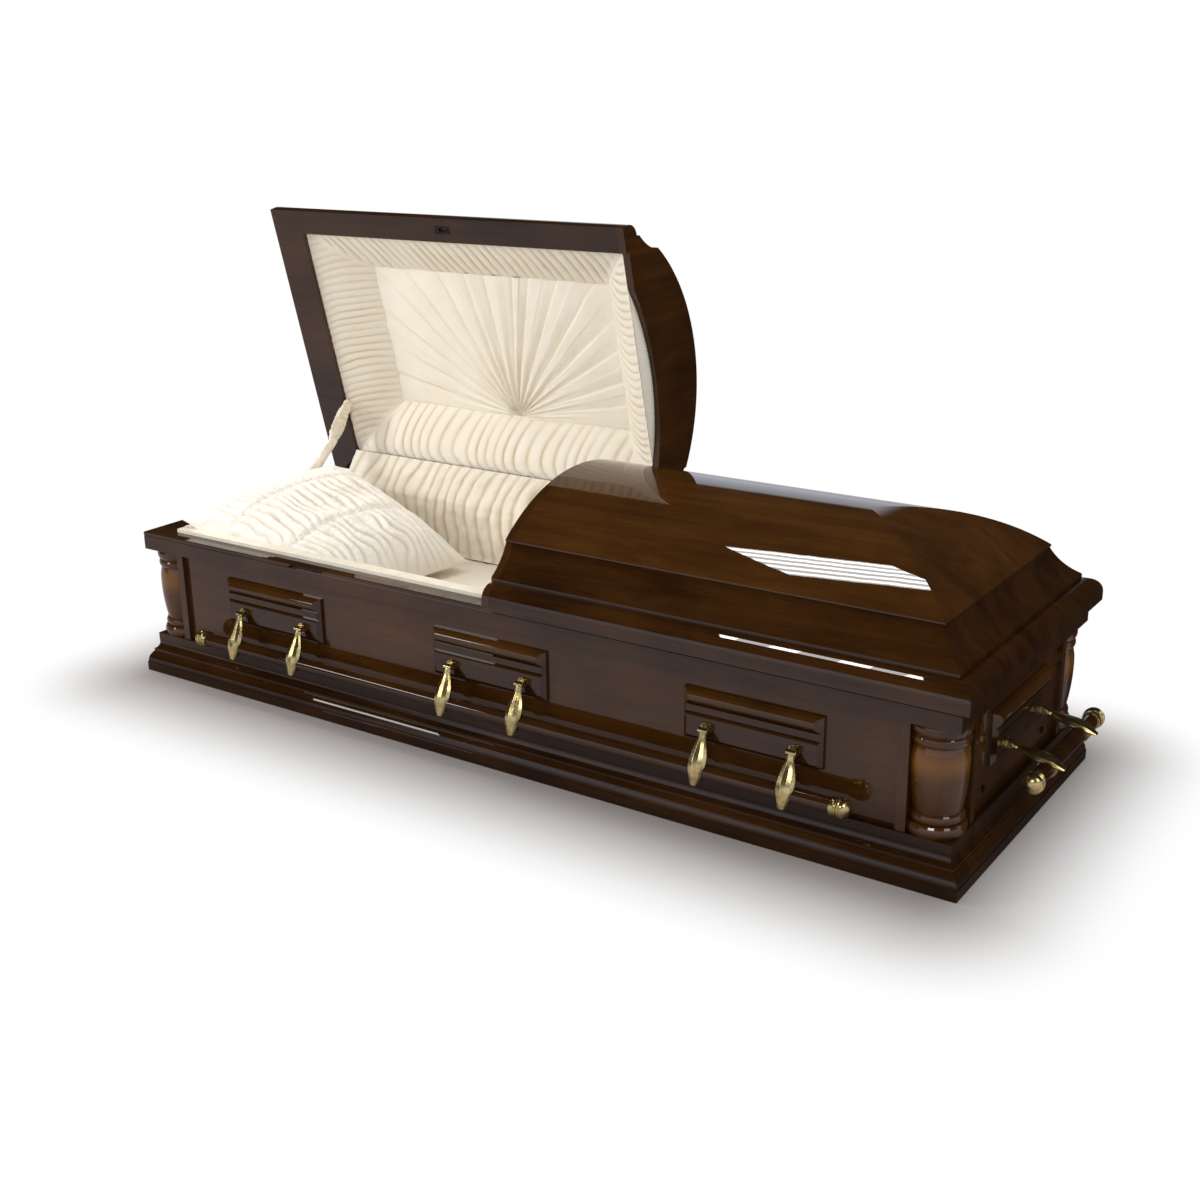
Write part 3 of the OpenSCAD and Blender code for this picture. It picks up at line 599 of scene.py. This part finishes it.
def fanShape(u, w):
    inset = border["width"] - border["tuck"]
    x = mix(bx0 + inset, bx1 - inset, u)
    y = mix(-by + inset, by - inset, w)
    dx, dy = x - fan["focus"][0], fan["focus"][1] - y
    r = math.hypot(dx, dy)
    angle = math.atan2(dy, dx) / math.pi
    t = angle * fan["rays"] + 0.30 * rough(angle * 3, 0, 5, 0.16) + 0.05 * rough(x, y, 0, 0.1)
    ray = 0.5 + 0.5 * rough(round(t) * 1.7, 3, 0, 1.0)
    upright = 0.35 + 0.65 * math.sin(math.pi * min(1, max(0, angle))) ** 2
    fade = smooth(r / 0.035) * (1 - 0.8 * smooth((r - 0.16 - 0.2 * ray) / 0.22)) * upright
    valley = fan["depth"] * fade * (0.65 + 0.6 * ray) * crease(t, 0.30, 0.07)
    minor = fan["depth"] * 0.3 * smooth(r / 0.03) * (1 - smooth((r - 0.1) / 0.16))
    minor *= crease(t * 2 + 0.5, 0.3, 0.12)
    sag = 0.008 * math.sin(math.pi * u) * math.sin(math.pi * w)
    cross = 0.0012 * rough(x, y, 3, 0.04) + 0.0004 * rough(x, y, 8, 0.01)
    pinch = -0.006 * math.exp(-(r / 0.02) ** 2)
    # dark: painted shade along the creases and at the pinched centre
    dark = fade * (0.4 + 0.6 * ray) * (1 - crease(t - 0.01, 0.07, 0.05)) + 0.3 * math.exp(-(r / 0.03) ** 2)
    z = fan["z"] - sag * 0.4 - valley - minor - cross - pinch
    return opened((x, y, z)), fan["shade"] * min(1, dark)


fanPanel = facing(gridPiece("lid_fan_panel", 420, 200, fanShape), (0, -1, 0))
fanPanel.data.materials.append(cloth)
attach(fanPanel, "head_lid")
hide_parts("head_panel")
print("lid lining made")


# rear skirt, from the lid down into the body
skirt = {
    "x0": -0.968, "x1": 0.002,
    "line": [(0.3365, 0.4335), (0.329, 0.418), (0.316, 0.394), (0.303, 0.374), (0.294, 0.363),
        (0.287, 0.352), (0.283, 0.33), (0.281, 0.29), (0.277, 0.25), (0.272, 0.222), (0.262, 0.2112)],
    "period": 0.037,
    "depth": 0.0125,
}
skirtLine = [Vector((0, y, z)) for y, z in skirt["line"]]


def skirtShape(u, w):
    x = mix(skirt["x0"], skirt["x1"], u)
    p = along(skirtLine, w)
    q = along(skirtLine, min(1, w + 0.01)) - along(skirtLine, max(0, w - 0.01))
    out = Vector((0, q.z, -q.y)).normalized()
    if out.y > 0:
        out = -out
    sway = 0.024 * math.sin(w * 3) + 0.012 * rough(x, w * 0.25, 2, 0.07)
    t = (x + sway) / skirt["period"] + 0.9 * rough(x, 0, 6, 0.13)
    depth = skirt["depth"] * min(1, w * 4 + 0.35) * (0.75 + 0.6 * rough(x, w * 0.2, 11, 0.06))
    gather = 0.003 * pipe(t * 2.6) * math.exp(-((w - 0.04) / 0.09) ** 2)
    puff = depth * pipe(t) + gather + 0.006 * math.sin(math.pi * min(1, w * 2.2))
    puff += 0.0035 * rough(x, w * 0.2, 4, 0.022)
    # the second value is painted shade in the valleys between the pipes
    return Vector((x, p.y + out.y * puff, p.z + max(0, out.z) * puff * 0.5)), 0.5 * groove(t, 0.17)


rearSkirt = gridPiece("rear_skirt", 420, 90, skirtShape)
rearSkirt.data.materials.append(cloth)
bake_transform(rearSkirt)
skirtArea = sum(f.area for f in rearSkirt.data.polygons)
print("skirt area", round(skirtArea, 3))


# lining round the walls
ring = {
    "x": 0.9835, "y": 0.2815, "postX": 0.937, "postY": 0.2335,
    "railX": 0.9915, "railY": 0.2885, "cornerX": 0.94, "cornerY": 0.24,
    "top": 0.3545, "low": 0.2135,
    "period": 0.03,
    "depth": 0.0085,
}


def ringPath():
    # round the body inside the rails and the corner posts, from the head's rear corner
    x, y, px, py = ring["x"], ring["y"], ring["postX"], ring["postY"]
    inner = [(-px, y), (-px, py), (-x, py - 0.01), (-x, -py + 0.01), (-px, -py), (-px, -y),
        (-0.9, -y), (0.9, -y), (px, -y), (px, -py), (x, -py + 0.01), (x, py - 0.01),
        (px, py), (px, y), (0.9, y), (0.004, y)]
    return [Vector((a, b, 0)) for a, b in inner]


ringInner = ringPath()


def ringTop(p):
    # the nearest point of the rails' inner edge
    x, y = p.x, p.y
    if abs(x) > 0.9 and abs(y) > 0.2:
        railX = mix(ring["cornerX"], ring["railX"], min(1, (abs(x) - 0.9) / 0.06))
        railY = mix(ring["cornerY"], ring["railY"], min(1, (abs(y) - 0.2) / 0.05))
        return Vector((math.copysign(railX, x), math.copysign(railY, y), 0))
    if abs(y) > 0.27:
        return Vector((x, math.copysign(ring["railY"], y), 0))
    return Vector((math.copysign(ring["railX"], x), y, 0))


ringLong = sum((b - a).length for a, b in zip(ringInner, ringInner[1:]))


def ringShape(u, w):
    p = along(ringInner, u)
    a, b = along(ringInner, max(0, u - 0.002)), along(ringInner, min(1, u + 0.002))
    d = (b - a).normalized()
    inward = Vector((-d.y, d.x, 0))
    s = u * ringLong
    t = (s + 0.008 * math.sin(w * 4 + s * 9)) / ring["period"] + 0.7 * rough(s, 0, 13, 0.1)
    depth = ring["depth"] * (0.25 + 0.75 * math.sin(math.pi * min(1, w * 0.9 + 0.1))) * pipe(t)
    top = ringTop(p)
    edge = min(1, w / 0.22)
    q = top.lerp(p, edge ** 0.7) + inward * depth * edge
    if w < 0.22:
        z = ring["top"] + 0.002 * math.sin(math.pi * w / 0.22) - 0.02 * edge ** 3
    else:
        z = mix(ring["top"] - 0.02, ring["low"], (w - 0.22) / 0.78)
    # the second value is painted shade in the valleys between the pipes
    return Vector((q.x, q.y, z)), 0.45 * groove(t, 0.17) * edge


wallRing = gridPiece("wall_lining_ring", 900, 26, ringShape)
wallRing.data.materials.append(cloth)
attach(wallRing, "casket")
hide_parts("wall_lining")
ringArea = sum(f.area for f in wallRing.data.polygons)
print("ring area", round(ringArea, 3))


# padded roll at the head end
roll = {"x": -0.9855, "z": 0.3490, "r": 0.0160, "y0": -0.283, "y1": 0.283, "lowZ": 0.33, "keep": 0.6}


def rollShape(u, w):
    y = mix(roll["y0"], roll["y1"], u)
    a = w * 2 * math.pi
    ends = math.sqrt(max(0.0, 1 - abs(2 * u - 1) ** 16))
    t = (y + 0.008 * math.sin(a)) / 0.024 + 0.6 * rough(y, 0, 3, 0.08)
    r = roll["r"] * (0.86 + 0.14 * fold(t) + 0.06 * rough(y, math.cos(a) * 0.03, math.sin(a) * 0.03, 0.03))
    r *= max(0.02, ends)
    p = Vector((roll["x"] + r * math.cos(a) * 1.05, y, roll["z"] + r * math.sin(a)))
    # the second value is painted shade in the valleys between the folds
    return p, 0.35 * groove(t, 0.2)


headRoll = gridPiece("head_roll", 260, 36, rollShape)
rollMesh = bmesh.new()
rollMesh.from_mesh(headRoll.data)
bmesh.ops.remove_doubles(rollMesh, verts=rollMesh.verts, dist=0.0003)
bmesh.ops.recalc_face_normals(rollMesh, faces=rollMesh.faces)
rollMesh.to_mesh(headRoll.data)
rollMesh.free()
headRoll.data.materials.append(cloth)
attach(headRoll, "casket")
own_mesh(headRoll)


# the loose pillow
pillow = {
    "headFront": Vector((-0.976, -0.290, 0.388)),
    "headRear": Vector((-0.922, 0.201, 0.424)),
    "footRear": Vector((-0.462, 0.180, 0.236)),
    "footFront": Vector((-0.516, -0.276, 0.232)),
    # shade: strength of the painted shade in the fold valleys
    "top": 0.094, "under": 0.05, "shade": 0.55,
    "bands": (0.25, 0.60),
    "folds": 17,
    "foldDepth": 0.0150,
    "pull": 0.055,  # how far the edges bow in
    "bedZ": 0.2125,
    "keep": 0.72,
}


def pillowMid(u, w):
    a = pillow["headFront"].lerp(pillow["headRear"], w)
    b = pillow["footFront"].lerp(pillow["footRear"], w)
    # the edges bow in between the four pointed corners
    p = a.lerp(b, u)
    middle = (pillow["headFront"] + pillow["footRear"]) / 2
    away = p - middle
    pull = pillow["pull"] * (math.sin(math.pi * u) * abs(2 * w - 1) ** 3
        + math.sin(math.pi * w) * abs(2 * u - 1) ** 3)
    return p - away * pull


pillowUp = (pillow["footRear"] - pillow["headRear"]).cross(
    pillow["headFront"] - pillow["headRear"]).normalized()
if pillowUp.z < 0:
    pillowUp = -pillowUp


def pillowCrown(u, w):
    return ((1 - abs(2 * u - 1) ** 3.2) * (1 - abs(2 * w - 1) ** 3.2)) ** 0.62


def pillowTop(u, w):
    p = pillowMid(u, w)
    crown = pillowCrown(u, w)
    line = u - 0.016 * math.sin(w * 8 + 1)
    pinch = sum(math.exp(-((line - b) / 0.02) ** 2) for b in pillow["bands"])
    near = sum(math.exp(-((line - b) / 0.045) ** 2) for b in pillow["bands"])
    part = sum(1 for b in pillow["bands"] if line > b)
    wave = 0.8 * rough(u * 0.5, w * 0.5, part * 7 + 1, 0.16)
    wave += 0.9 * rough(u * 0.4, w * 0.5, part * 7 + 3, 0.06)
    curve = 0.25 * math.sin(math.pi * u) * (w - 0.5)
    t = (w + curve * 0.3) * pillow["folds"] + wave + part * 0.43
    strength = 0.85 + 0.7 * rough(u * 0.6, w, 17 + part, 0.09)
    depth = pillow["foldDepth"] * strength * crown * (1 - 0.6 * min(1, near))
    gather = 0.0045 * min(1, near) * crown * pipe(w * 41 + 2.2 * rough(w, part, 4, 0.05))
    stitch = 0.0022 * pinch * crown * math.sin(u * 420)
    h = pillow["top"] * crown * (0.94 + 0.1 * w) - 0.006 * min(1, pinch) * crown
    h += depth * (pipe(t) - 0.62) + gather + stitch
    h += 0.0045 * rough(u * 0.5, w * 0.5, 21, 0.05) * crown + 0.0018 * rough(u, w, 23, 0.018) * crown
    # dark: painted shade in the valleys between the folds and in the gathers at the two bands
    dark = min(1, max(0, strength)) * crown ** 0.5 * groove(t, 0.17) * (1 - 0.7 * min(1, near))
    dark += 0.5 * min(1, near) * groove(w * 41 + 2.2 * rough(w, part, 4, 0.05), 0.2)
    return p + pillowUp * h, pillow["shade"] * min(1, dark)


def pillowUnder(u, w):
    p = pillowMid(u, w)
    crown = pillowCrown(u, w)
    q = p - pillowUp * pillow["under"] * crown
    if q.z < pillow["bedZ"]:
        q.z = min(p.z, pillow["bedZ"])
    return q


restPillow = joined("pillow_gathered", [gridPiece("upper", 180, 260, pillowTop),
    gridPiece("lower", 180, 260, pillowUnder)])
restPillow.data.materials.append(pillowCloth)
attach(restPillow, "casket")
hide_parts("pillow")
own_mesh(restPillow)
print("pillow made")


# the mattress
pad = {"x": 0.975, "y": 0.272, "low": 0.1375, "high": 0.2115, "postX": 0.933, "postY": 0.229}


def padOutline():
    x, y, px, py = pad["x"], pad["y"], pad["postX"], pad["postY"]
    return [(-px, -y), (px, -y), (px, -py), (x, -py), (x, py), (px, py), (px, y), (-px, y),
        (-px, py), (-x, py), (-x, -py), (-px, -py)]


padMesh = bmesh.new()
padFace = padMesh.faces.new([padMesh.verts.new((x, y, pad["high"])) for x, y in padOutline()])
padLow = bmesh.ops.extrude_face_region(padMesh, geom=[padFace])
for v in [g for g in padLow["geom"] if isinstance(g, bmesh.types.BMVert)]:
    v.co.z = pad["low"]
mattress = newPiece("mattress_pad", padMesh)
mattress.data.materials.append(cloth)
padEdge = mattress.modifiers.new("edge", "BEVEL")
padEdge.width = 0.016
padEdge.segments = 4
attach(mattress, "casket")
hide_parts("mattress")


# cloth sleeves over the lid stay
stay = {
    "foot": (0, 0.060, 0.355),
    # place along the casket, half width, half thickness, seed of the puckers
    "upper": (-0.9668, 0.021, 0.0105, 1.0),
    "lower": (-0.9568, 0.017, 0.0098, 4.0),
    "keep": 0.25,
}
stayPins = [Vector((0, *joints[j]["pos_m"][1:])) for j in ("stay_upper_pivot", "stay_elbow")]
stayPins.append(Vector(stay["foot"]))


def sleeve(link, start, end):
    x, wide, thick, seed = stay[link]
    a, b = start + Vector((x, 0, 0)), end + Vector((x, 0, 0))
    d = b - a
    long = d.length
    d.normalize()
    across = Vector((0, -d.z, d.y))

    def shape(u, w):
        angle = w * 2 * math.pi
        full = math.sin(math.pi * min(1, u * 1.02)) ** 0.4 if 0 < u < 0.98 else 0.25
        swell = mix(0.35, 1, full)
        t = u * long / 0.024 + 0.7 * math.sin(angle + seed + u * 5) + 1.6 * rough(u, 0, seed, 0.16)
        pucker = 0.82 + 0.18 * pipe(t) + 0.34 * rough(u * 2, math.cos(angle), math.sin(angle) + seed, 0.6)
        r1, r2 = wide * swell * pucker, thick * swell * pucker
        p = a + d * (u * (long + 0.012) - 0.006)
        p += across * r1 * math.cos(angle) + Vector((1, 0, 0)) * r2 * math.sin(angle)
        # the second value is painted shade in the valleys between the puckers
        return p, 0.35 * groove(t, 0.2)

    piece = gridPiece("stay_sleeve_" + link, 90, 30, shape)
    bm = bmesh.new()
    bm.from_mesh(piece.data)
    bmesh.ops.remove_doubles(bm, verts=bm.verts, dist=0.0002)
    bmesh.ops.holes_fill(bm, edges=[e for e in bm.edges if e.is_boundary])
    bmesh.ops.recalc_face_normals(bm, faces=bm.faces)
    for f in bm.faces:
        f.smooth = True
    bm.to_mesh(piece.data)
    bm.free()
    piece.data.materials.append(cloth)
    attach(piece, "stay_" + link)
    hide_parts("stay_" + link)
    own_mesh(piece)


sleeve("upper", stayPins[0], stayPins[1])
sleeve("lower", stayPins[1], stayPins[2])
print("sleeves made")


# floor, world, lamps and camera
studio = {
    # the floor's grey near the casket, fading out across a box round its footprint, is a painted shadow
    # added to the floor's real shadow
    "paintedShadowFloor": (0.36, 0.33, 0.315),
    "floorRadius": 6, "paintedShadowBox": (1.0, 0.37, 0), "paintedShadowStart": 0.0, "paintedShadowEnd": 0.36,
    "front": (-0.35, -0.94, 0),
    "skyLevel": 0.59,  # the even light on the casket, seen by neither the camera nor reflections
    # only reflections see the colours below: they are darker than the white that the camera sees
    "ceiling": (0.022, 0.020, 0.020),
    "backdrop": (0.78, 0.86, 1.0),
    "frontFloor": (0.62, 0.59, 0.62),
    # the floor as reflections see it, darker than the floor the camera sees: painted shade, deepest at the
    # sides and rear
    "nearFloor": (0.17, 0.155, 0.15),
    "sideFloor": (0.07, 0.06, 0.055),
}


def remap(tree, source, low, high, toLow=0.0, toHigh=1.0):
    node = tree.nodes.new("ShaderNodeMapRange")
    node.interpolation_type = "SMOOTHSTEP"
    for key, value in (("From Min", low), ("From Max", high), ("To Min", toLow), ("To Max", toHigh)):
        node.inputs[key].default_value = value
    tree.links.new(source, node.inputs["Value"])
    return node.outputs["Result"]


def blendColour(tree, factor, a, b):
    node = addNode(tree, "ShaderNodeMix", data_type="RGBA")
    tree.links.new(factor, node.inputs["Factor"])
    for value, socket in ((a, node.inputs["A"]), (b, node.inputs["B"])):
        if isinstance(value, tuple):
            socket.default_value = (*value, 1)
        else:
            tree.links.new(value, socket)
    return node.outputs["Result"]


def towards(tree, vector, direction):
    node = addNode(tree, "ShaderNodeVectorMath", operation="DOT_PRODUCT")
    node.inputs[1].default_value = direction
    tree.links.new(vector, node.inputs[0])
    return node.outputs["Value"]


# the floor is a grey patch round the casket that fades into the white backdrop: a painted shadow over the
# floor's real shadow
bpy.ops.mesh.primitive_circle_add(vertices=96, radius=studio["floorRadius"], fill_type="NGON",
    location=(0, 0, -0.0004))
floor = bpy.context.object
floor.name = "floor"
floorMat, floorTree, floorShader = newMaterial("floorMat")
floorShader.inputs["Roughness"].default_value = 0.9
floorShader.inputs["Specular IOR Level"].default_value = 0.0
floorCoords = floorTree.nodes.new("ShaderNodeTexCoord")
floorRays = floorTree.nodes.new("ShaderNodeLightPath")
# reflections see the floor painted darker than the camera does: painted shade, darkest towards the sides
# and rear
nearSide = remap(floorTree, towards(floorTree, floorCoords.outputs["Object"], studio["front"]), -0.6, 0.3)
reflectedFloorShade = blendColour(floorTree, nearSide, studio["sideFloor"], studio["nearFloor"])
floorTree.links.new(blendColour(floorTree, floorRays.outputs["Is Glossy Ray"], studio["paintedShadowFloor"],
    reflectedFloorShade), floorShader.inputs["Base Color"])
# the painted shadow fades out with the distance from a box round the casket
outside = addNode(floorTree, "ShaderNodeVectorMath", operation="ABSOLUTE")
floorTree.links.new(floorCoords.outputs["Object"], outside.inputs[0])
past = addNode(floorTree, "ShaderNodeVectorMath", operation="SUBTRACT")
past.inputs[1].default_value = studio["paintedShadowBox"]
floorTree.links.new(outside.outputs["Vector"], past.inputs[0])
beyond = addNode(floorTree, "ShaderNodeVectorMath", operation="MAXIMUM")
floorTree.links.new(past.outputs["Vector"], beyond.inputs[0])
distance = addNode(floorTree, "ShaderNodeVectorMath", operation="LENGTH")
floorTree.links.new(beyond.outputs["Vector"], distance.inputs[0])
floorTree.links.new(remap(floorTree, distance.outputs["Value"], studio["paintedShadowStart"], studio["paintedShadowEnd"],
    1, 0), floorShader.inputs["Alpha"])
floor.data.materials.append(floorMat)

world = bpy.data.worlds.new("studio")
bpy.context.scene.world = world
world.use_nodes = True
worldTree = world.node_tree
background = worldTree.nodes["Background"]
aim = worldTree.nodes.new("ShaderNodeTexCoord").outputs["Generated"]
worldRays = worldTree.nodes.new("ShaderNodeLightPath")
height = addNode(worldTree, "ShaderNodeSeparateXYZ")
worldTree.links.new(aim, height.inputs["Vector"])
lit = remap(worldTree, towards(worldTree, aim, studio["front"]), -0.9, -0.7)
lowBand = remap(worldTree, height.outputs["Z"], 0.30, 0.37, 1, 0)
belowFloor = remap(worldTree, height.outputs["Z"], -0.03, 0.0, 1, 0)
behind = remap(worldTree, height.outputs["X"], -0.66, -0.56)
wallGlow = blendColour(worldTree, behind, studio["ceiling"], studio["backdrop"])
wallGlow = blendColour(worldTree, lowBand, studio["ceiling"], wallGlow)
wallGlow = blendColour(worldTree, belowFloor, wallGlow, studio["frontFloor"])
mirror = blendColour(worldTree, lit, studio["ceiling"], wallGlow)
seen = blendColour(worldTree, worldRays.outputs["Is Glossy Ray"], (studio["skyLevel"],) * 3, mirror)
seen = blendColour(worldTree, worldRays.outputs["Is Camera Ray"], seen, (1.0, 1.0, 1.0))
worldTree.links.new(seen, background.inputs["Color"])
background.inputs["Strength"].default_value = 1.0


def softbox(name, at, aimAt, size, power):
    data = bpy.data.lights.new(name, "AREA")
    data.shape = "RECTANGLE"
    data.size, data.size_y = size
    data.energy = power
    lamp = bpy.data.objects.new(name, data)
    bpy.context.scene.collection.objects.link(lamp)
    lamp.location = at
    lamp.rotation_mode = "QUATERNION"
    lamp.rotation_quaternion = (Vector(aimAt) - Vector(at)).to_track_quat("-Z", "Y")
    return lamp


lamps = {
    "at": Vector((-0.545, 0.15, 3.4)), "turn": 28.0, "size": (0.78, 0.70),
    "panelWatts": 15, "tubes": 5, "tubeWatts": 2.6,
    # place, the point that it faces, size, watts
    "sideLamp": ((-2.9, -1.9, 1.9), (-0.4, 0, 0.6), (1.2, 1.0), 49),
    "lowLamp": ((-2.3, -2.6, 1.3), (0, 0, 0.2), (0.8, 0.5), 11),
    "frontLamp": ((1.2, -3.3, 2.2), (0.3, 0, 0.3), (1.3, 0.22), 13),
    "footLamp": ((3.0, -1.1, 1.9), (1, 0, 0.2), (1.0, 1.1), 15),
}


def downLamp(name, at, size, power):
    lamp = softbox(name, at, at - Vector((0, 0, 1)), size, power)
    lamp.rotation_mode = "XYZ"
    lamp.rotation_euler = (0, 0, math.radians(lamps["turn"]))


downLamp("panelLamp", lamps["at"], lamps["size"], lamps["panelWatts"])
acrossLamp = Vector((-math.sin(math.radians(lamps["turn"])), math.cos(math.radians(lamps["turn"])), 0))
for i in range(lamps["tubes"]):
    step = ((i + 0.5) / lamps["tubes"] - 0.5) * lamps["size"][1]
    downLamp("tube%d" % i, lamps["at"] + acrossLamp * step - Vector((0, 0, 0.01)),
        (lamps["size"][0], 0.07), lamps["tubeWatts"])
sideLamp = softbox("sideLamp", *lamps["sideLamp"])
sideLamp.visible_glossy = False  # lights the front but is not reflected in it
for name in ("lowLamp", "frontLamp", "footLamp"):
    softbox(name, *lamps[name])

view = {
    "at": (1.9226, -2.7250, 1.4166),
    "yaw": 0.5995, "pitch": -0.331, "roll": -0.0142,  # radians
    "lens": 46.56,
}
cameraData = bpy.data.cameras.new("camera")
camera = bpy.data.objects.new("camera", cameraData)
bpy.context.scene.collection.objects.link(camera)
bpy.context.scene.camera = camera
yaw, pitch, turn = view["yaw"], view["pitch"], view["roll"]
forward = Vector((-math.sin(yaw) * math.cos(pitch), math.cos(yaw) * math.cos(pitch), math.sin(pitch)))
right = forward.cross(Vector((0, 0, 1))).normalized()
up = right.cross(forward)
right, up = right * math.cos(turn) + up * math.sin(turn), up * math.cos(turn) - right * math.sin(turn)
camera.matrix_world = Matrix.Translation(view["at"]) @ Matrix((right, up, -forward)).transposed().to_4x4()
cameraData.sensor_width = 36
cameraData.lens = view["lens"]
cameraData.clip_end = 100
print("floor, world, lamps and camera made")

bpy.context.scene.view_settings.view_transform = "Standard"
